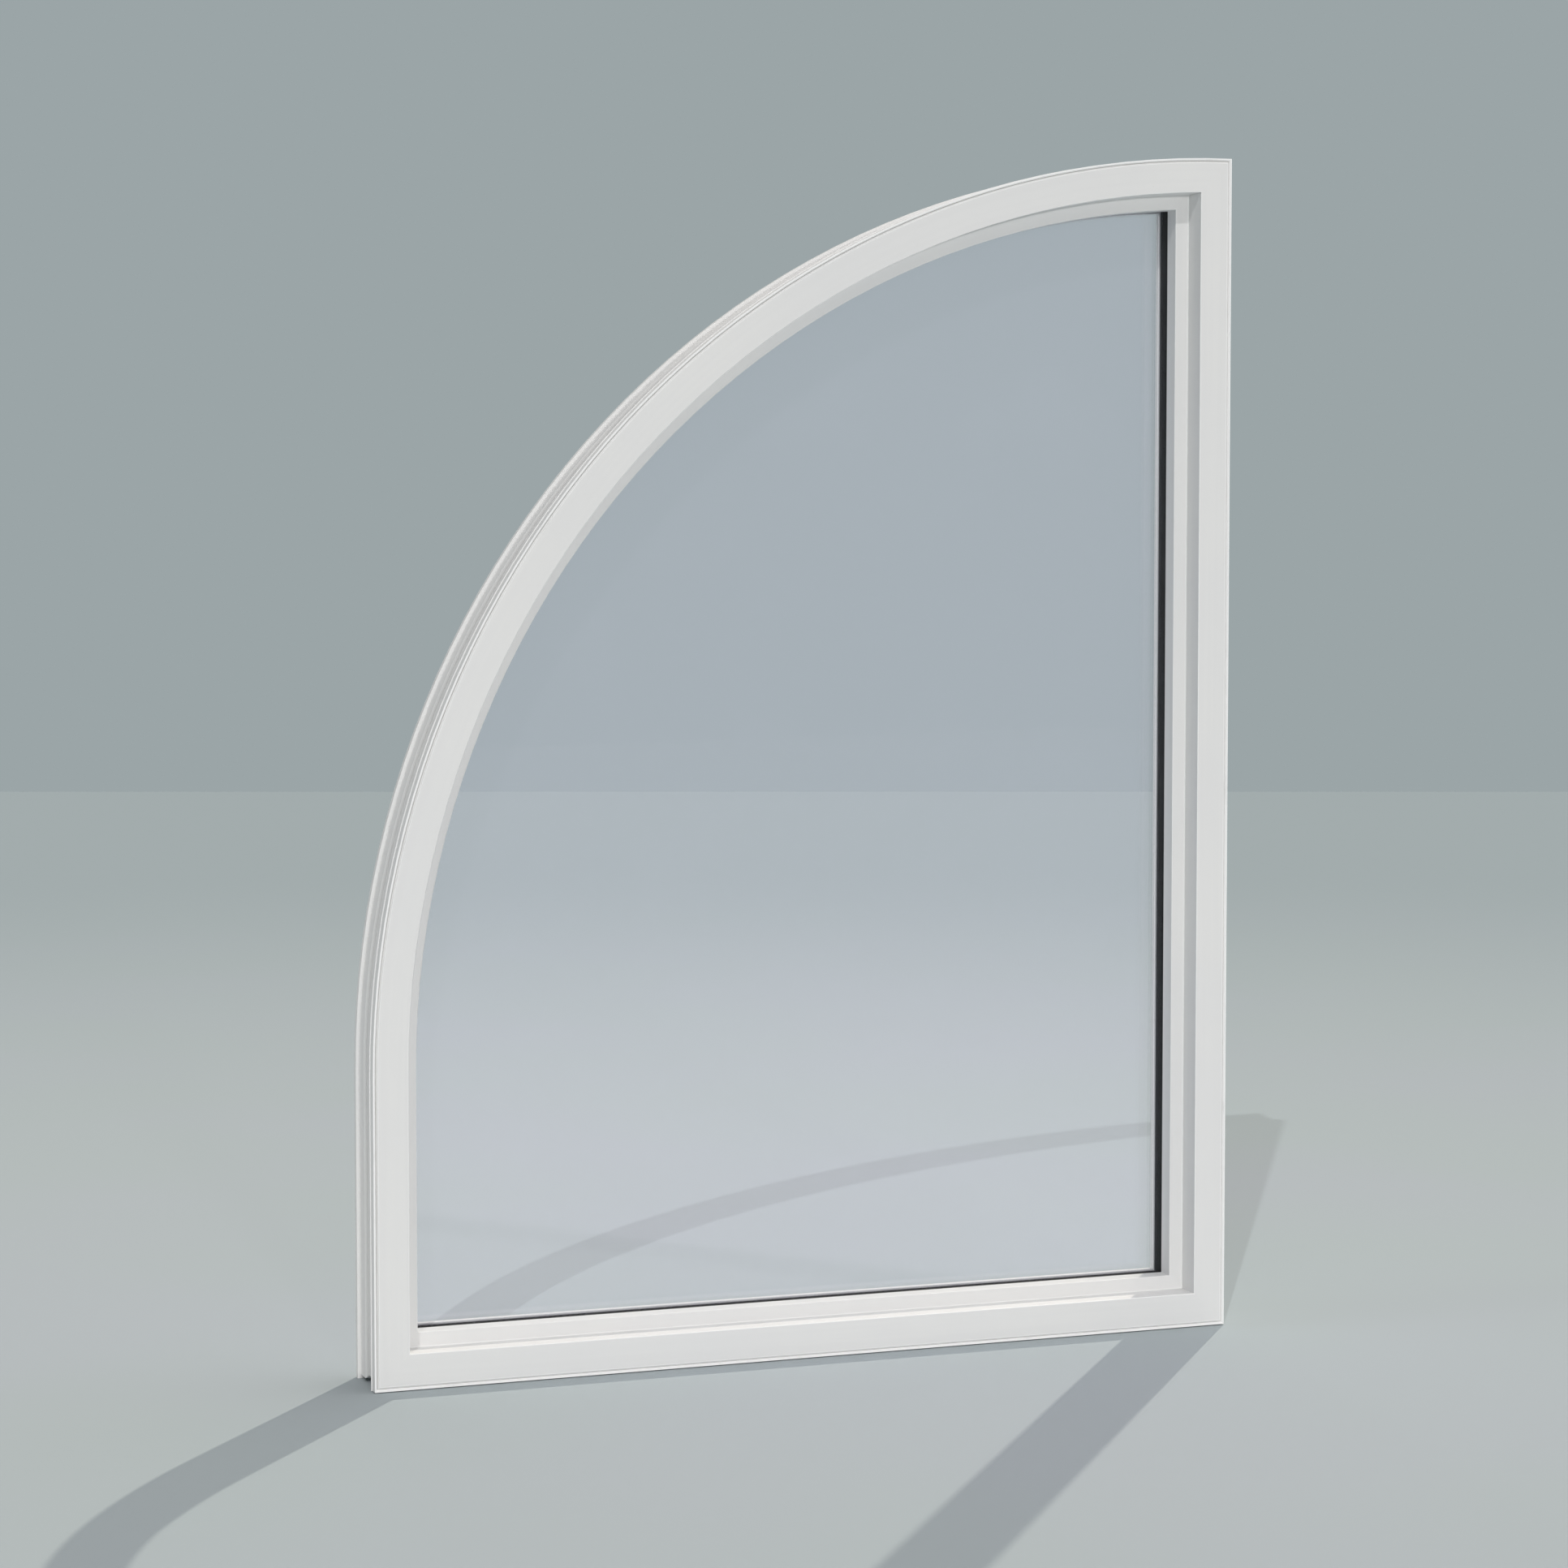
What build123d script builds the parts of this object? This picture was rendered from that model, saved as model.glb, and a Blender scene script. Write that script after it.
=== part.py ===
from build123d import *
from math import sqrt
import os

os.makedirs("parts", exist_ok=True)

# A fixed quarter round window: a straight leg on the left, a tall jamb on the right and a
# quarter circle between them. The front faces -Y, and the origin is at the middle of the base.
width = 914.4
leg_height = 304.8
arch_radius = width
height = leg_height + arch_radius
frame_depth = 76.2

# Every section is drawn with x as the depth behind the front plane and y as the distance
# in from the outline of the window.
rim_setback = 0.7
rim_width = 1.4
groove_bevel = 1.2
groove_depth = 1.8
face_bevel = 1.4
face_wall = 0.5
face_wall_depth = 1.2
face_inner = 35.7
first_return = 28.6
sightline = 50.4
second_return = 19.5

# Outside of the frame: a thin front lip, a recess for the installer, a step and a rear flange
front_lip_start = 12.0
front_lip_end = 13.5
recess_in = 6.8
step_depth = 50.0
step_in = 3.6
step_chamfer = 2.0
rear_flange_start = 69.5

# Walls of the hollow extrusions, and the rounding of their visible edges
wall = 2.2
web = 1.6
edge_radius = 0.8

# Pocket of the frame that holds the sash
pocket_in = 18.0

# Glazing, from the front: tape, pane, spacer, pane, tape, bead
tape_thickness = 1.0
pane_thickness = 3.1
spacer_thickness = 12.8
rebate_in = 33.0
glass_in = 36.5
spacer_outer = 40.0
spacer_inner = 47.4
tape_outer = 40.0
tape_inner = 48.0
bead_outer = 24.0
bead_chamfer = 2.0
bead_wall = 1.9

# Lip of the sash that seals it against the frame
seal_lip = 0.9

# Snap leg of the bead and the slot of the sash that holds it
leg_outer = 26.0
leg_inner = 28.0
leg_length = 6.0
slot_clearance = 0.2

lip_back = first_return + second_return
outer_pane_front = lip_back + tape_thickness
spacer_front = outer_pane_front + pane_thickness
inner_pane_front = spacer_front + spacer_thickness
inner_tape_front = inner_pane_front + pane_thickness
bead_front = inner_tape_front + tape_thickness

# Blocks that carry the glass on the bottom rail
block_length = 100.0
block_spacing = 420.0

left = -width / 2
right = width / 2
front = -frame_depth / 2


def arch_height_over(inset):
    """Height of the corner where the arch and the right jamb meet, at this distance in."""
    return leg_height + sqrt((arch_radius - inset) ** 2 - inset**2)


# Planes of the sections: x runs back into the window and y runs inwards
sill_plane = Plane((left, front, 0), x_dir=(0, 1, 0), z_dir=(1, 0, 0))
jamb_plane = Plane((right, front, 0), x_dir=(0, 1, 0), z_dir=(0, 0, 1))
leg_plane = Plane((left, front, leg_height), x_dir=(0, 1, 0), z_dir=(0, 0, -1))
arch_axis = Axis((right, 0, leg_height), (0, 1, 0))

# Mitre planes at the corners, each facing the member that is kept. At the top corner the
# mitre runs from the outer corner to where the sightlines of the arch and the jamb meet.
corner_rise = height - arch_height_over(sightline)
mitre_left_up = Plane((left, 0, 0), z_dir=(-1, 0, 1))
mitre_left_down = Plane((left, 0, 0), z_dir=(1, 0, -1))
mitre_right_up = Plane((right, 0, 0), z_dir=(1, 0, 1))
mitre_right_down = Plane((right, 0, 0), z_dir=(-1, 0, -1))
mitre_top_jamb = Plane((right, 0, height), z_dir=(corner_rise, 0, -sightline))


def four_members(section):
    """The bottom, right, left and arched members of one section, mitred at the corners."""
    with BuildPart() as bottom:
        with BuildSketch(sill_plane):
            add(section)
        extrude(amount=width)
        split(bisect_by=mitre_left_down, keep=Keep.TOP)
        split(bisect_by=mitre_right_down, keep=Keep.TOP)

    with BuildPart() as right_side:
        with BuildSketch(jamb_plane):
            add(section)
        extrude(amount=height)
        split(bisect_by=mitre_right_up, keep=Keep.TOP)
        split(bisect_by=mitre_top_jamb, keep=Keep.TOP)

    with BuildPart() as left_side:
        with BuildSketch(leg_plane):
            add(section)
        extrude(amount=leg_height)
        split(bisect_by=mitre_left_up, keep=Keep.TOP)

    with BuildPart() as arch:
        with BuildSketch(leg_plane):
            add(section)
        revolve(axis=arch_axis, revolution_arc=90)
        with BuildSketch(Plane.XZ):
            with BuildLine():
                Polyline(
                    (right, height),
                    (right, height - 2 * corner_rise),
                    (right - 2 * sightline, height - 2 * corner_rise),
                    close=True,
                )
            make_face()
        extrude(amount=frame_depth, both=True, mode=Mode.SUBTRACT)

    return bottom, right_side, left_side, arch


def export_members(members, names):
    """Write the four members of one section under their own names."""
    for member, name in zip(members, names):
        member.part.label = name
        export_step(member.part, f"parts/{name}.step")


def glazing_outline(inset):
    """Closed outline of the glazing at this distance in from the outside of the window."""
    with BuildSketch() as outline:
        with BuildLine():
            Polyline(
                (left + inset, leg_height),
                (left + inset, inset),
                (right - inset, inset),
                (right - inset, arch_height_over(inset)),
            )
            RadiusArc(
                (right - inset, arch_height_over(inset)),
                (left + inset, leg_height),
                -(arch_radius - inset),
            )
        make_face()
    return outline.sketch


def hollow_section(outline, chambers, rounded_corners):
    """Section of a hollow extrusion: its outline, its chambers cut out and its edges rounded."""
    with BuildSketch() as section:
        add(outline)
        make_face()
        for depth_range, inward_range in chambers:
            with Locations((depth_range[0], inward_range[0])):
                Rectangle(
                    depth_range[1] - depth_range[0],
                    inward_range[1] - inward_range[0],
                    align=Align.MIN,
                    mode=Mode.SUBTRACT,
                )
        for corner in rounded_corners:
            fillet(section.vertices().sort_by_distance(corner)[0], radius=edge_radius)
    return section.sketch


# Frame: the flat face with a groove and a rim round it, and the pocket behind it for the sash
rim_inner = rim_setback + rim_width
groove_bottom = rim_inner + groove_bevel
face_outer = groove_bottom + face_bevel + face_wall
with BuildLine() as frame_outline:
    Polyline(
        (0, rim_setback),
        (0, rim_inner),
        (groove_depth, groove_bottom),
        (face_wall_depth, groove_bottom + face_bevel),
        (0, face_outer),
        (0, face_inner),
        (first_return, face_inner),
        (first_return, pocket_in),
        (bead_front, pocket_in),
        (bead_front, bead_outer),
        (frame_depth, bead_outer),
        (frame_depth, 0),
        (rear_flange_start, 0),
        (rear_flange_start, step_in),
        (step_depth + step_chamfer, step_in),
        (step_depth, step_in + step_chamfer),
        (step_depth, recess_in),
        (front_lip_end, recess_in),
        (front_lip_end, 0),
        (front_lip_start, 0),
        (front_lip_start, rim_setback),
        close=True,
    )

# Chambers of the frame: two behind the face, and two one behind the other beside the pocket
front_chamber = (groove_depth + wall, first_return - wall)
web_inner = pocket_in + wall
frame_chambers = (
    (front_chamber, (web_inner + web, face_inner - wall)),
    (front_chamber, (recess_in + wall, web_inner)),
    ((first_return, step_depth - wall), (recess_in + wall, pocket_in - wall)),
    ((step_depth + wall, frame_depth - wall), (step_in + wall, pocket_in - wall)),
)
frame_members = four_members(
    hollow_section(frame_outline.line, frame_chambers, ((0, face_inner),))
)
export_members(
    frame_members,
    ("frame_sill", "frame_jamb_right", "frame_leg_left", "frame_head_arch"),
)

# Sash: its lip stops the glass, a rebate behind the lip takes the glazing unit, and a slot in
# the back takes the snap leg of the beads
slot_front = bead_front - leg_length - slot_clearance
with BuildLine() as sash_outline:
    Polyline(
        (first_return, pocket_in),
        (first_return, face_inner),
        (first_return - seal_lip, face_inner),
        (first_return, face_inner + seal_lip),
        (first_return, sightline),
        (lip_back, sightline),
        (lip_back, rebate_in),
        (bead_front, rebate_in),
        (bead_front, leg_inner + slot_clearance),
        (slot_front, leg_inner + slot_clearance),
        (slot_front, leg_outer - slot_clearance),
        (bead_front, leg_outer - slot_clearance),
        (bead_front, pocket_in),
        close=True,
    )

# Chambers of the sash: one on each side of the rebate's floor, and one beside the glazing unit
lip_chamber = (first_return + wall, lip_back - wall)
sash_chambers = (
    (lip_chamber, (pocket_in + wall, rebate_in)),
    (lip_chamber, (rebate_in + web, sightline - wall)),
    ((lip_back, slot_front - wall), (pocket_in + wall, rebate_in - wall)),
)
sash_members = four_members(
    hollow_section(
        sash_outline.line, sash_chambers, ((first_return, sightline), (lip_back, sightline))
    )
)
export_members(
    sash_members,
    ("sash_bottom_rail", "sash_stile_right", "sash_stile_left", "sash_arch_rail"),
)

# Beads: they snap into the sash and close the rebate from the room side
with BuildLine() as bead_outline:
    Polyline(
        (bead_front, bead_outer),
        (bead_front, leg_outer),
        (bead_front - leg_length, leg_outer),
        (bead_front - leg_length, leg_inner),
        (bead_front, leg_inner),
        (bead_front, sightline),
        (frame_depth - bead_chamfer, sightline),
        (frame_depth, sightline - bead_chamfer),
        (frame_depth, bead_outer),
        close=True,
    )
bead_chambers = (
    (
        (bead_front + bead_wall, frame_depth - bead_wall),
        (bead_outer + bead_wall, sightline - bead_chamfer - bead_wall),
    ),
)
bead_members = four_members(
    hollow_section(bead_outline.line, bead_chambers, ((bead_front, sightline),))
)
export_members(
    bead_members,
    ("bead_bottom", "bead_right", "bead_left", "bead_arch"),
)

# Glazing tapes: one between the lip and the outer pane, one between the inner pane and the beads
for tape_front, side in ((lip_back, "outer"), (inner_tape_front, "inner")):
    with BuildSketch() as tape_section:
        with Locations((tape_front, tape_outer)):
            Rectangle(tape_thickness, tape_inner - tape_outer, align=Align.MIN)
    tape_members = four_members(tape_section.sketch)
    export_members(
        tape_members,
        (f"tape_{side}_bottom", f"tape_{side}_right", f"tape_{side}_left", f"tape_{side}_arch"),
    )

# Spacer bars between the two panes
with BuildSketch() as spacer_section:
    with Locations((spacer_front, spacer_outer)):
        Rectangle(spacer_thickness, spacer_inner - spacer_outer, align=Align.MIN)
spacer_members = four_members(spacer_section.sketch)
export_members(
    spacer_members,
    ("spacer_bottom", "spacer_right", "spacer_left", "spacer_arch"),
)

# The two panes of glass
for pane_front, name in (
    (outer_pane_front, "glass_outer_pane"),
    (inner_pane_front, "glass_inner_pane"),
):
    with BuildPart() as pane:
        with BuildSketch(Plane.XZ.offset(-front - pane_front)):
            add(glazing_outline(glass_in))
        extrude(amount=-pane_thickness)
    pane.part.label = name
    export_step(pane.part, f"parts/{name}.step")

# Sealant round the edge of the unit, outside the spacer bars
with BuildSketch() as sealant_section:
    with Locations((spacer_front, glass_in)):
        Rectangle(spacer_thickness, spacer_outer - glass_in, align=Align.MIN)
with BuildPart() as edge_sealant:
    for member in four_members(sealant_section.sketch):
        add(member.part)
edge_sealant.part.label = "edge_sealant"
export_step(edge_sealant.part, "parts/edge_sealant.step")

# Two setting blocks between the rebate and the glass
unit_thickness = 2 * pane_thickness + spacer_thickness
for x_middle, name in (
    (-block_spacing / 2, "setting_block_left"),
    (block_spacing / 2, "setting_block_right"),
):
    with BuildPart() as block:
        with BuildSketch(Plane.XY.offset(rebate_in)):
            with Locations((x_middle, front + outer_pane_front + unit_thickness / 2)):
                Rectangle(block_length, unit_thickness)
        extrude(amount=glass_in - rebate_in)
    block.part.label = name
    export_step(block.part, f"parts/{name}.step")
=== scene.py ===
import math

import bpy
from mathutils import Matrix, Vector


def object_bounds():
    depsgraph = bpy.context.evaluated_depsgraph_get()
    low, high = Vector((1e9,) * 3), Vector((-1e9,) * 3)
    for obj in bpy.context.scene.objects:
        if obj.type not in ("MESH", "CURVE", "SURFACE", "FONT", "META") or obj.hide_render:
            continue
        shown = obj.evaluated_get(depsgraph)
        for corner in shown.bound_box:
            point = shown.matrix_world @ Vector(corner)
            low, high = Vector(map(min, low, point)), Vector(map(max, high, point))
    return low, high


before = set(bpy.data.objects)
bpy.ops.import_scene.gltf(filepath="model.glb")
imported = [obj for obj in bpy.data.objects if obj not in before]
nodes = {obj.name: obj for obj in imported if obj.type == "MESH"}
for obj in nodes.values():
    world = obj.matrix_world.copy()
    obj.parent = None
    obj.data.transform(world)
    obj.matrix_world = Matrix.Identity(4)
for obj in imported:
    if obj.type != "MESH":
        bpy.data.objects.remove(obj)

cad_low, cad_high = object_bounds()

# Lengths are in metres, and the small ones on the section are written in millimetres
MM = 0.001

# The outline comes from the frame: the head is a quarter circle as wide as the window
LEFT, RIGHT, FRONT = cad_low.x, cad_high.x, cad_low.y
ARCH_RADIUS = RIGHT - LEFT
LEG_HEIGHT = cad_high.z - ARCH_RADIUS

# Places on the section, measured inwards from the outline
GROOVE_BOTTOM = 3.3 * MM
FLANK_END = 4.4 * MM
FACE_OUTER = 5.2 * MM
FACE_INNER = 35.7 * MM
SPACER_INNER = 47.4 * MM
SIGHTLINE = 50.4 * MM

# Places on the section, measured back from the front
RIM_BACK = 1.6 * MM
LIP_BACK = 12.8 * MM
FIRST_RETURN_BACK = 28.6 * MM
STEP_FRONT = 50.8 * MM
SPACER_MIDDLE = 58.6 * MM


class Signal:
    """An output of a finish's nodes that takes part in sums like a number."""

    def __init__(self, finish, socket):
        self.finish = finish
        self.socket = socket

    def sum_node(self, operation, *values, clamp=False):
        settings = {"operation": operation, "use_clamp": clamp}
        return self.finish.node("ShaderNodeMath", settings, dict(enumerate(values)))

    def __add__(self, other):
        return self.sum_node("ADD", self, other)

    def __sub__(self, other):
        return self.sum_node("SUBTRACT", self, other)

    def __rsub__(self, other):
        return self.sum_node("SUBTRACT", other, self)

    def __mul__(self, other):
        return self.sum_node("MULTIPLY", self, other)

    __radd__ = __add__
    __rmul__ = __mul__

    def __truediv__(self, other):
        return self.sum_node("DIVIDE", self, other)

    def __rtruediv__(self, other):
        return self.sum_node("DIVIDE", other, self)

    def __pow__(self, exponent):
        return self.sum_node("POWER", self, exponent)

    def __rpow__(self, base):
        return self.sum_node("POWER", base, self)

    def root(self):
        return self.sum_node("SQRT", self)

    def size(self):
        return self.sum_node("ABSOLUTE", self)

    def fraction(self):
        return self.sum_node("FRACT", self)

    def clamped(self):
        """Held between 0 and 1."""
        return self.sum_node("ADD", self, 0.0, clamp=True)

    def angle_over(self, run):
        """The angle of a slope that rises by this over run."""
        return self.sum_node("ARCTAN2", self, run)

    def rise(self, low, high):
        """0 below low, 1 above high, and a smooth step between."""
        settings = {"interpolation_type": "SMOOTHSTEP"}
        sockets = {"Value": self, "From Min": low, "From Max": high}
        return self.finish.node("ShaderNodeMapRange", settings, sockets)

    def fall(self, low, high):
        """1 below low, 0 above high, and a smooth step between."""
        return 1 - self.rise(low, high)

    def near(self, place, reach):
        """1 at place, falling to 0 at reach from it."""
        return (self - place).size().fall(0.0, reach)


class Finish:
    """The nodes of a new material or world, and the few kinds of step that all of them use."""

    def __init__(self, owner):
        owner.use_nodes = True
        self.owner = owner
        self.tree = owner.node_tree
        self.tree.nodes.clear()

    def node(self, kind, settings=None, sockets=None, output=0):
        """Adds a node: its settings first, then its sockets, and gives one of its outputs."""
        node = self.tree.nodes.new(kind)
        for name, value in (settings or {}).items():
            setattr(node, name, value)
        for name, value in (sockets or {}).items():
            socket = node.inputs[name]
            if isinstance(value, Signal):
                self.tree.links.new(value.socket, socket)
            else:
                socket.default_value = value
        return Signal(self, node.outputs[output]) if node.outputs else None

    def place(self):
        """Position on the object at rest, in metres."""
        return self.node("ShaderNodeTexCoord", output="Object")

    def parts_of(self, vector):
        """The three components of a vector."""
        first = self.node("ShaderNodeSeparateXYZ", sockets={"Vector": vector})
        return [Signal(self, output) for output in first.socket.node.outputs]

    def vector(self, x, y, z):
        return self.node("ShaderNodeCombineXYZ", sockets={"X": x, "Y": y, "Z": z})

    def is_ray(self, kind):
        """1 for rays of this kind, such as Camera or Shadow."""
        return self.node("ShaderNodeLightPath", output=f"Is {kind} Ray")

    def noise(self, vector, scale, detail=2.0, roughness=0.5):
        sockets = {"Vector": vector, "Scale": scale, "Detail": detail, "Roughness": roughness}
        return self.node("ShaderNodeTexNoise", {"noise_dimensions": "3D"}, sockets)

    def cells(self, vector, scale):
        sockets = {"Vector": vector, "Scale": scale}
        return self.node("ShaderNodeTexVoronoi", {"feature": "F1"}, sockets)

    def blend(self, factor, first, second):
        """A colour between two others; 6, 7 and 2 are the Mix node's sockets for colours."""
        settings = {"data_type": "RGBA", "blend_type": "MIX"}
        sockets = {"Factor": factor, 6: first, 7: second}
        return self.node("ShaderNodeMix", settings, sockets, output=2)

    def bump(self, height, distance, under=None):
        sockets = {"Height": height, "Distance": distance, "Strength": 1.0}
        if under is not None:
            sockets["Normal"] = under
        return self.node("ShaderNodeBump", sockets=sockets)

    def principled(self, **sockets):
        named = {name.replace("_", " "): value for name, value in sockets.items()}
        return self.node("ShaderNodeBsdfPrincipled", sockets=named)

    def mirror(self, colour, gloss):
        return self.node("ShaderNodeBsdfGlossy", sockets={"Color": colour, "Roughness": gloss})

    def between(self, factor, first, second):
        """The first shader where factor is 0 and the second where it is 1."""
        return self.node("ShaderNodeMixShader", sockets={0: factor, 1: first, 2: second})

    def output(self, shader):
        self.node("ShaderNodeOutputMaterial", sockets={"Surface": shader})
        return self.owner


def new_finish(name):
    """The finish of a new material."""
    return Finish(bpy.data.materials.new(name))


def grey(value):
    return (value, value, value, 1.0)


def section_place(finish, place, run):
    """A point's depth behind the front, its inset from the outline and its length along the member."""
    x, y, z = finish.parts_of(place)
    depth = y - FRONT
    if run == "sill":
        return depth, z, x
    if run == "jamb":
        return depth, RIGHT - x, z
    if run == "leg":
        return depth, x - LEFT, z
    across, up = RIGHT - x, z - LEG_HEIGHT
    radius = (across * across + up * up).root()
    return depth, ARCH_RADIUS - radius, up.angle_over(across) * ARCH_RADIUS


# Painted shade darkens the groove round the face, more on the leg and the arch, with a little patchy
# grime
GROOVE_SHADE_AND_GRIME = {"sill": 0.30, "jamb": 0.30, "leg": 0.72, "arch": 0.66}
SETTLED_DUST = (0.46, 0.44, 0.40, 1.0)
# Colour of the painted shade and dirt in the groove
GROOVE_SHADE_AND_DIRT = (0.36, 0.35, 0.33, 1.0)
# Colour of the highlight painted along the section's edges
EDGE_HIGHLIGHT = grey(0.96)
SCUFF_MARK = (0.50, 0.50, 0.49, 1.0)
DIRT_SPECK = (0.40, 0.38, 0.35, 1.0)


def painted_edge_highlights(depth, inset):
    """1 on the edges of the section that stand out and carry a painted highlight, 0 between them."""
    face_edges = inset.near(FACE_INNER, 1.2 * MM) + inset.near(FACE_OUTER, 1.0 * MM)
    front_edges = depth.near(0.0, 1.2 * MM) * face_edges
    rim_top = inset.fall(GROOVE_BOTTOM - 0.3 * MM, GROOVE_BOTTOM)
    rim = rim_top * depth.fall(RIM_BACK - 0.2 * MM, RIM_BACK + 0.2 * MM)
    sight_edge = inset.near(SIGHTLINE, 1.0 * MM) * depth.near(FIRST_RETURN_BACK, 1.0 * MM)
    seal_edge = inset.near(FACE_INNER, 1.4 * MM) * depth.near(FIRST_RETURN_BACK, 1.4 * MM)
    outer_corners = depth.near(LIP_BACK, 1.2 * MM) + depth.near(STEP_FRONT, 1.6 * MM)
    flank_edges = outer_corners * inset.fall(FLANK_END - 0.2 * MM, FLANK_END + 0.2 * MM)
    return (front_edges + rim + sight_edge * 0.5 + seal_edge + flank_edges).clamped()


def vinyl(name, run, tone):
    """White extruded vinyl: faint die lines along it, a little mottling, dust, handling marks, painted
    shade in the groove and painted highlights along its edges.
    """
    finish = new_finish(f"{name}_{run}")
    place = finish.place()
    depth, inset, along = section_place(finish, place, run)

    die_place = finish.vector(depth, inset, along * 0.004)
    die_lines = finish.noise(die_place, scale=900.0, detail=3.0, roughness=0.6)
    band_place = finish.vector(depth, inset, along * 0.02)
    die_bands = finish.noise(band_place, scale=140.0, detail=1.0)
    orange_peel = finish.noise(place, scale=420.0, detail=1.0)
    mottle = finish.noise(place, scale=6.0, detail=3.0, roughness=0.55)
    specks = finish.noise(place, scale=260.0, roughness=0.7).rise(0.72, 0.8)

    # The edges with the painted highlight carry a few grey scuffs
    scuff_place = finish.vector(depth, inset, along * 0.25)
    scuffs = finish.noise(scuff_place, scale=60.0, detail=4.0, roughness=0.65).rise(0.56, 0.72)
    edge_highlight = painted_edge_highlights(depth, inset)
    wear = edge_highlight * scuffs

    # Dust settles in the groove round the face and on what faces up
    normal = finish.node("ShaderNodeNewGeometry", output="Normal")
    upward = finish.parts_of(normal)[2].rise(0.55, 0.95)
    groove = inset.near(GROOVE_BOTTOM, 1.2 * MM) * depth.fall(2.0 * MM, 3.0 * MM)
    dust_cloud = finish.noise(place, scale=28.0, detail=4.0, roughness=0.6).rise(0.42, 0.72)
    dust = ((upward * 0.55 + groove * 0.5) * dust_cloud).clamped()
    # Painted shade in the groove, fixed per run, with a little patchy grime added
    groove_shade_and_grime = groove * (GROOVE_SHADE_AND_GRIME[run] + dust_cloud * 0.12)

    warm_white = (tone + 0.004, tone + 0.002, tone - 0.004, 1.0)
    clean = finish.blend(mottle.rise(0.35, 0.65), grey(tone * 0.985), warm_white)
    streaked = finish.blend(die_bands.rise(0.4, 0.6) * 0.25, clean, grey(tone * 0.96))
    dusty = finish.blend(dust * 0.16, streaked, SETTLED_DUST)
    groove_shaded = finish.blend(groove_shade_and_grime, dusty, GROOVE_SHADE_AND_DIRT)
    # Painted highlight along the edges of the section
    edge_highlighted = finish.blend(edge_highlight, groove_shaded, EDGE_HIGHLIGHT)
    worn = finish.blend(wear * 0.25, edge_highlighted, SCUFF_MARK)
    colour = finish.blend(specks * 0.10, worn, DIRT_SPECK)

    unworn_gloss = 0.36 + (mottle - 0.5) * 0.10 + die_bands * 0.05
    gloss = unworn_gloss + dust * 0.20 - edge_highlight * 0.08 + wear * 0.2
    relief = finish.bump(die_lines, 0.03 * MM)
    relief = finish.bump(orange_peel, 0.02 * MM, relief)
    relief = finish.bump(scuffs * wear, 0.06 * MM, relief)
    surface = finish.principled(
        Base_Color=colour, Roughness=gloss, Normal=relief, Specular_IOR_Level=0.3
    )
    return finish.output(surface)


def foam_tape(run):
    """Black closed-cell glazing tape."""
    finish = new_finish(f"foam_tape_{run}")
    place = finish.place()
    cell = finish.cells(place, scale=1600.0)
    mottle = finish.noise(place, scale=45.0, detail=3.0).rise(0.3, 0.7)
    colour = finish.blend(mottle, (0.016, 0.016, 0.018, 1.0), (0.030, 0.030, 0.033, 1.0))
    gloss = 0.82 + cell * 0.10
    relief = finish.bump(cell, 0.15 * MM)
    return finish.output(finish.principled(Base_Color=colour, Roughness=gloss, Normal=relief))


SLOT_PITCH = 4.0 * MM
SLOT_LENGTH = 1.5 * MM
SLOT_WIDTH = 0.44 * MM
SLOT_ROW_OFFSET = 1.2 * MM


def breather_slots(depth, inset, along):
    """1 in the slots, which stand in two rows on the bar's inner face, and 0 round them."""
    from_row = ((depth - SPACER_MIDDLE).size() - SLOT_ROW_OFFSET).size()
    from_slot = ((along / SLOT_PITCH).fraction() - 0.5).size() * SLOT_PITCH
    in_width = from_row.fall(SLOT_WIDTH * 0.3, SLOT_WIDTH / 2)
    in_length = from_slot.fall(SLOT_LENGTH * 0.4, SLOT_LENGTH / 2)
    inner_face = inset.rise(SPACER_INNER - 0.4 * MM, SPACER_INNER - 0.2 * MM)
    return in_width * in_length * inner_face


def spacer_bar(run):
    """Dark spacer bar with fine breather slots along its middle."""
    finish = new_finish(f"spacer_bar_{run}")
    place = finish.place()
    depth, inset, along = section_place(finish, place, run)
    slots = breather_slots(depth, inset, along)
    brush_place = finish.vector(depth, inset, along * 0.01)
    brushed = finish.noise(brush_place, scale=1200.0, roughness=0.6)
    mottle = finish.noise(place, scale=18.0).rise(0.35, 0.65)
    body = finish.blend(mottle, grey(0.005), grey(0.007))
    # The slots are painted near-black, as the shade inside the holes
    colour = finish.blend(slots, body, grey(0.001))
    gloss = 0.56 + brushed * 0.12 + slots * 0.2
    relief = finish.bump(brushed, 0.03 * MM)
    relief = finish.bump(1 - slots, 0.2 * MM, relief)
    surface = finish.principled(
        Base_Color=colour, Roughness=gloss, Normal=relief, Specular_IOR_Level=0.1
    )
    return finish.output(surface)


def butyl_sealant():
    """Black sealant with the drag marks of the trowel."""
    finish = new_finish("butyl_sealant")
    place = finish.place()
    drag = finish.noise(place, scale=120.0, detail=4.0, roughness=0.6)
    lumps = finish.noise(place, scale=700.0)
    colour = finish.blend(drag.rise(0.3, 0.7), grey(0.013), (0.026, 0.026, 0.027, 1.0))
    gloss = 0.45 + drag * 0.25
    relief = finish.bump(drag, 0.6 * MM)
    relief = finish.bump(lumps, 0.1 * MM, relief)
    return finish.output(finish.principled(Base_Color=colour, Roughness=gloss, Normal=relief))


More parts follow.
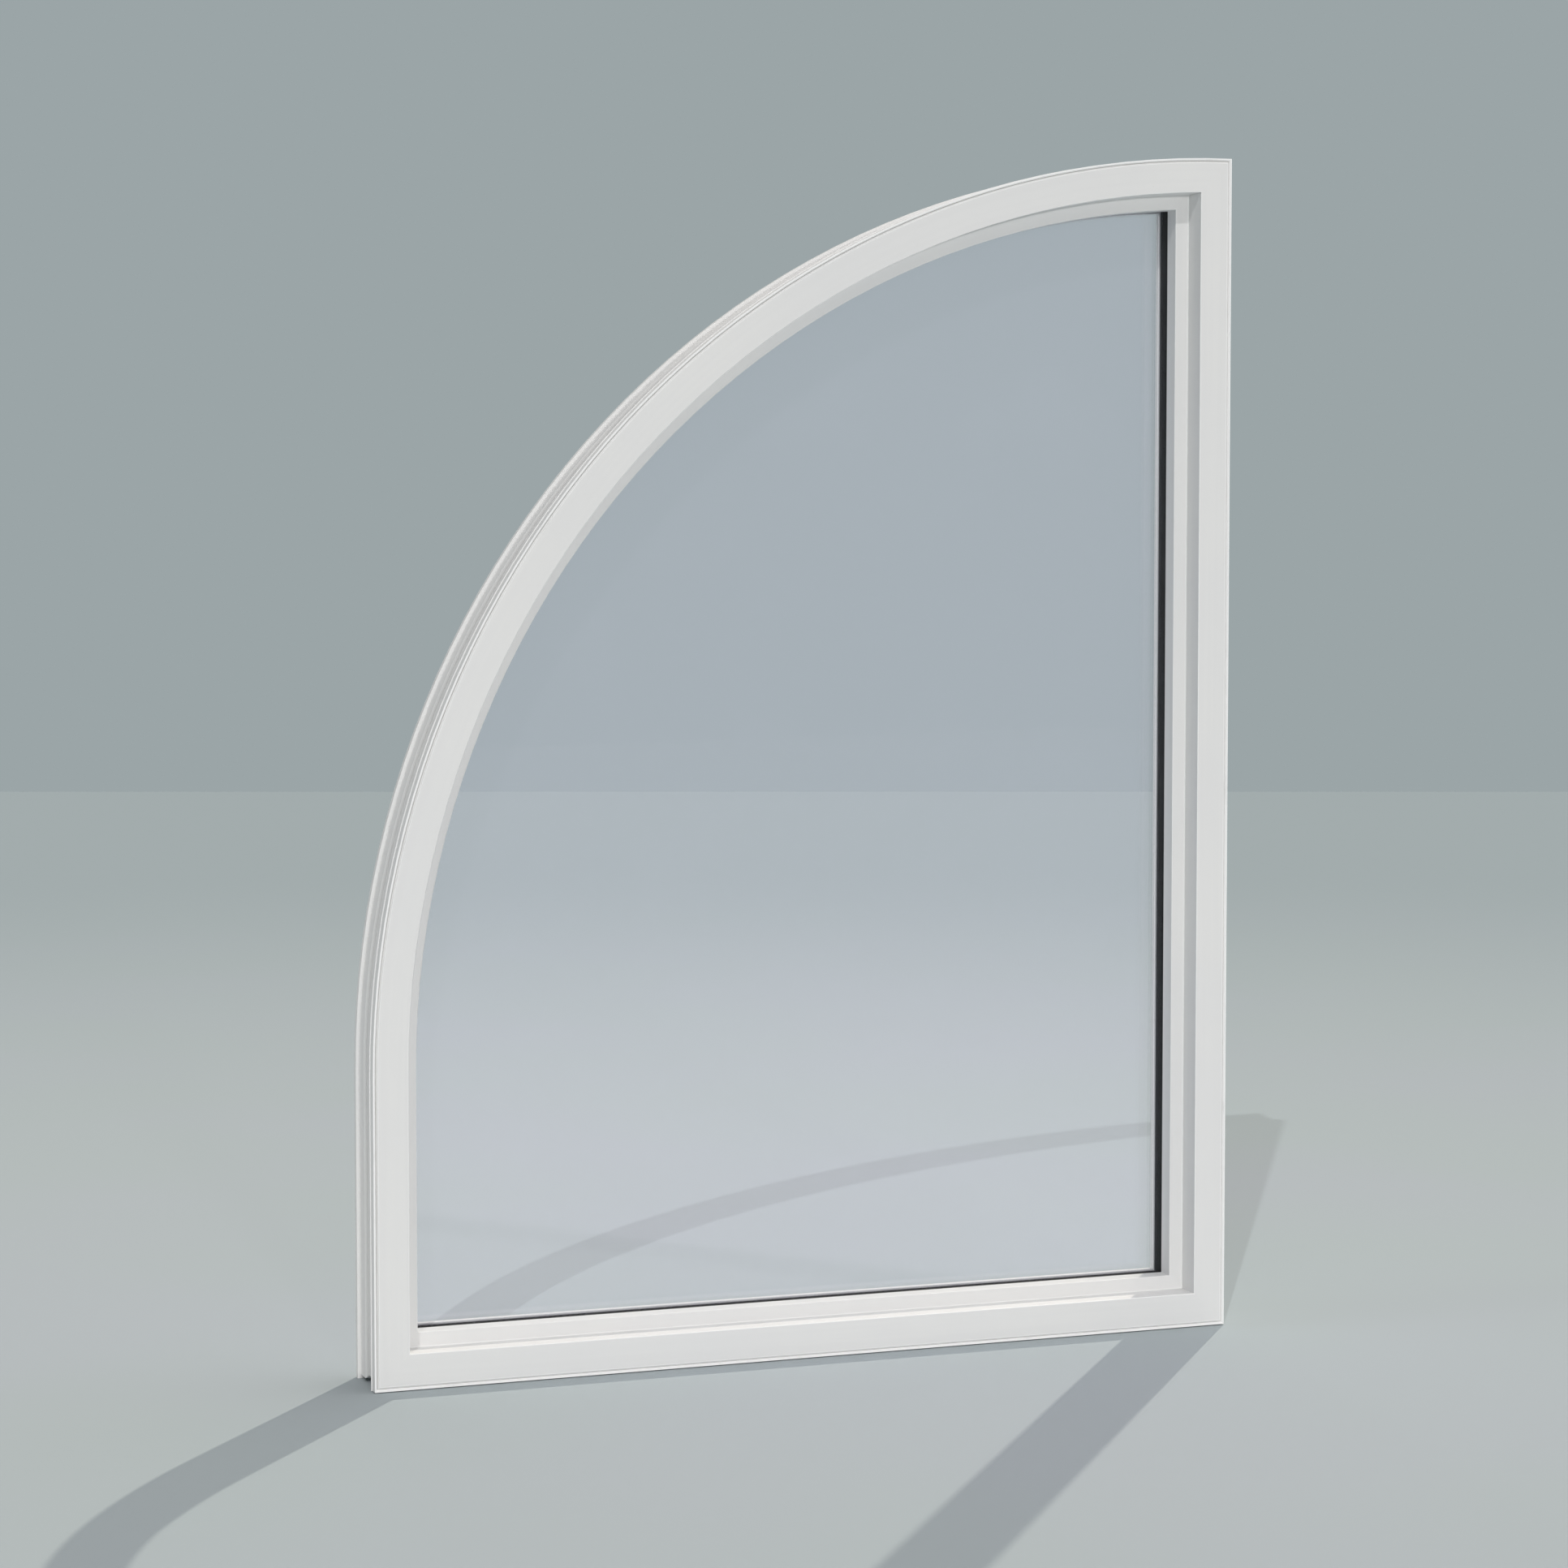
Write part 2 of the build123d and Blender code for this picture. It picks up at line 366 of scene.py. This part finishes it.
def block_rubber():
    """Hard rubber of the setting blocks, with a fine moulded grain and a pale bloom."""
    finish = new_finish("block_rubber")
    place = finish.place()
    grain = finish.noise(place, scale=900.0)
    bloom = finish.noise(place, scale=40.0, detail=4.0).rise(0.4, 0.75)
    colour = finish.blend(bloom, grey(0.030), (0.060, 0.059, 0.057, 1.0))
    gloss = 0.62 + bloom * 0.2
    relief = finish.bump(grain, 0.1 * MM)
    return finish.output(finish.principled(Base_Color=colour, Roughness=gloss, Normal=relief))


GLASS_TINT = (0.996, 0.998, 1.0, 1.0)
MIRROR_TINT = (0.92, 0.96, 1.0, 1.0)
COATING_SHEEN = (0.062, 0.054, 0.072, 1.0)
COATING_VEIL = (0.84, 0.84, 0.97, 1.0)
MIRRORED_HEAD_ON = 0.02
COATING_HAZE = 0.032


def pane_glass(name, coated):
    """Clear glass that lamps shine straight through; where coated, a cool coating veils it and adds to
    its gloss.
    """
    finish = new_finish(name)
    film = finish.noise(finish.place(), scale=9.0, roughness=0.6).rise(0.45, 0.8)
    not_lamp_light = 1 - finish.is_ray("Shadow")
    edge_on = finish.node("ShaderNodeLayerWeight", sockets={"Blend": 0.5}, output="Facing")
    gloss = 0.02 + film * 0.06
    through = finish.node("ShaderNodeBsdfTransparent", sockets={"Color": GLASS_TINT})
    mirrored = MIRRORED_HEAD_ON + edge_on**5 * (1 - MIRRORED_HEAD_ON)
    clear = finish.between(mirrored * not_lamp_light, through, finish.mirror(MIRROR_TINT, gloss))
    if not coated:
        return finish.output(clear)
    sheen = finish.mirror(COATING_SHEEN, gloss)
    glossy = finish.node("ShaderNodeAddShader", sockets={0: clear, 1: sheen})
    veil = finish.node("ShaderNodeBsdfDiffuse", sockets={"Color": COATING_VEIL})
    haze = (COATING_HAZE + film * 0.006) * not_lamp_light
    return finish.output(finish.between(haze, glossy, veil))


def dress(node_name, material):
    """Gives a node of the model its finish."""
    data = nodes[node_name].data
    data.materials.clear()
    data.materials.append(material)


# The end of each run's piece names: round the glass, in the sash and in the frame
RUNS = {
    "sill": ("bottom", "bottom_rail", "sill"),
    "jamb": ("right", "stile_right", "jamb_right"),
    "leg": ("left", "stile_left", "leg_left"),
    "arch": ("arch", "arch_rail", "head_arch"),
}
for run, (side, rail, member) in RUNS.items():
    dress(f"frame_{member}", vinyl("frame_vinyl", run, tone=0.80))
    # The sash and the bead are painted a little darker than the frame, to offset the light that
    # bounces onto them
    dress(f"sash_{rail}", vinyl("sash_vinyl", run, tone=0.78))
    dress(f"bead_{side}", vinyl("bead_vinyl", run, tone=0.78))
    dress(f"spacer_{side}", spacer_bar(run))
    tape = foam_tape(run)
    for layer in ("outer", "inner"):
        dress(f"tape_{layer}_{side}", tape)
dress("glass_outer_pane", pane_glass("outer_pane", coated=False))
dress("glass_inner_pane", pane_glass("coated_inner_pane", coated=True))
dress("edge_sealant", butyl_sealant())
rubber = block_rubber()
for block in ("setting_block_left", "setting_block_right"):
    dress(block, rubber)


# The photograph's camera stands in front, to the left, and looks slightly down; angles are in radians
CAMERA_PLACE = (-1.21041, -3.24058, 0.76780)
CAMERA_TURN = 0.351191
CAMERA_DIP = 0.0549894
PHOTO_PIXELS = 1932
FOCAL_PIXELS = 4227.66
SENSOR_WIDTH = 36.0

# The floor lies a hair below the window, square to the camera, and ends where the backdrop begins
FLOOR_DROP = 0.2 * MM
FLOOR_BEHIND_CAMERA = 8.0
FLOOR_BEFORE_CAMERA = 13.4
FLOOR_HALF_WIDTH = 12.0
# Centre and reach of the pool of light painted on the floor, and the painted shade of the far floor
PALEST_X, PALEST_Y = 0.3, 0.4
PALEST_REACH, DARKEST_REACH = 0.3, 5.8
FAR_FLOOR = (0.335, 0.392, 0.415, 1.0)


def floor_finish():
    """Pale matt floor with a painted pool of light: its colour pales towards the window and darkens
    far off.
    """
    finish = new_finish("studio_floor")
    place = finish.place()
    x, y, _ = finish.parts_of(place)
    across, back = x - PALEST_X, y - PALEST_Y
    from_light_pool = (across * across + back * back).root()
    patches = finish.noise(place, scale=1.1).rise(0.35, 0.65)
    near_floor = finish.blend(patches, (0.430, 0.484, 0.498, 1.0), (0.436, 0.480, 0.510, 1.0))
    colour = finish.blend(from_light_pool.rise(PALEST_REACH, DARKEST_REACH), near_floor, FAR_FLOOR)
    return finish.output(finish.principled(Base_Color=colour, Roughness=0.9, Specular_IOR_Level=0.0))


def studio_floor():
    """Adds the floor, which is no part of the window."""
    ahead = Vector((math.sin(CAMERA_TURN), math.cos(CAMERA_TURN), 0.0))
    aside = Vector((ahead.y, -ahead.x, 0.0)) * FLOOR_HALF_WIDTH
    below_camera = Vector((CAMERA_PLACE[0], CAMERA_PLACE[1], -FLOOR_DROP))
    back = below_camera - ahead * FLOOR_BEHIND_CAMERA
    front = below_camera + ahead * FLOOR_BEFORE_CAMERA
    corners = [back - aside, back + aside, front + aside, front - aside]
    mesh = bpy.data.meshes.new("studio_floor")
    mesh.from_pydata(corners, [], [(0, 1, 2, 3)])
    mesh.materials.append(floor_finish())
    floor = bpy.data.objects.new("studio_floor", mesh)
    bpy.context.scene.collection.objects.link(floor)


BACKDROP = (0.328, 0.376, 0.387, 1.0)
ROOM_LIGHT = (1.0, 0.97, 0.965, 1.0)


def studio_world():
    """Soft white light, most of it from above; the camera, mirrors and glass see the backdrop."""
    world = bpy.data.worlds.new("studio")
    bpy.context.scene.world = world
    sky = Finish(world)
    x, _, z = sky.parts_of(sky.node("ShaderNodeTexCoord", output="Generated"))
    # The brightest part is overhead, a little to the right
    overhead = (z * 0.94 + x * 0.34).clamped() ** 3
    strength = 0.13 + x * 0.10 + overhead * 1.2
    light = sky.node("ShaderNodeBackground", sockets={"Color": ROOM_LIGHT, "Strength": strength})
    view = sky.node("ShaderNodeBackground", sockets={"Color": BACKDROP, "Strength": 1.0})
    seen = (sky.is_ray("Camera") + sky.is_ray("Glossy") + sky.is_ray("Transmission")).clamped()
    sky.node("ShaderNodeOutputWorld", sockets={"Surface": sky.between(seen, light, view)})


def lamp(name, towards, strength, spread, colour):
    """A distant soft lamp; strength is the light it lays on a white surface that faces it."""
    light = bpy.data.lights.new(name, "SUN")
    light.energy = strength * math.pi
    light.angle = spread
    light.color = colour
    holder = bpy.data.objects.new(name, light)
    bpy.context.scene.collection.objects.link(holder)
    holder.rotation_euler = (-Vector(towards)).to_track_quat("-Z", "Y").to_euler()


def photo_camera():
    """Adds the camera and makes it the scene's own."""
    data = bpy.data.cameras.new("camera")
    data.sensor_width = SENSOR_WIDTH
    data.lens = FOCAL_PIXELS / PHOTO_PIXELS * SENSOR_WIDTH
    data.clip_start = 0.05
    data.clip_end = 60.0
    camera = bpy.data.objects.new("camera", data)
    camera.location = CAMERA_PLACE
    camera.rotation_euler = (math.pi / 2 - CAMERA_DIP, 0.0, -CAMERA_TURN)
    bpy.context.scene.collection.objects.link(camera)
    bpy.context.scene.camera = camera


studio_floor()
studio_world()
photo_camera()

# Two lamps cast the window's shadows; three nearly level ones light its upright faces
lamp("lamp_behind", (0.463, 0.581, 0.669), strength=0.485, spread=0.010, colour=(1.0, 0.93, 0.80))
lamp("lamp_front", (-0.392, -0.653, 0.648), strength=0.245, spread=0.008, colour=(1.0, 1.0, 0.98))
lamp("lamp_level", (-0.06, -0.997, 0.044), strength=0.335, spread=0.08, colour=(1.0, 0.985, 0.975))
lamp("lamp_side", (-0.9985, 0.03, 0.045), strength=0.16, spread=0.05, colour=(1.0, 1.0, 1.0))
lamp("lamp_rear", (0.12, 0.992, 0.044), strength=0.14, spread=0.08, colour=(0.78, 0.90, 1.0))

bpy.context.scene.view_settings.view_transform = "Standard"
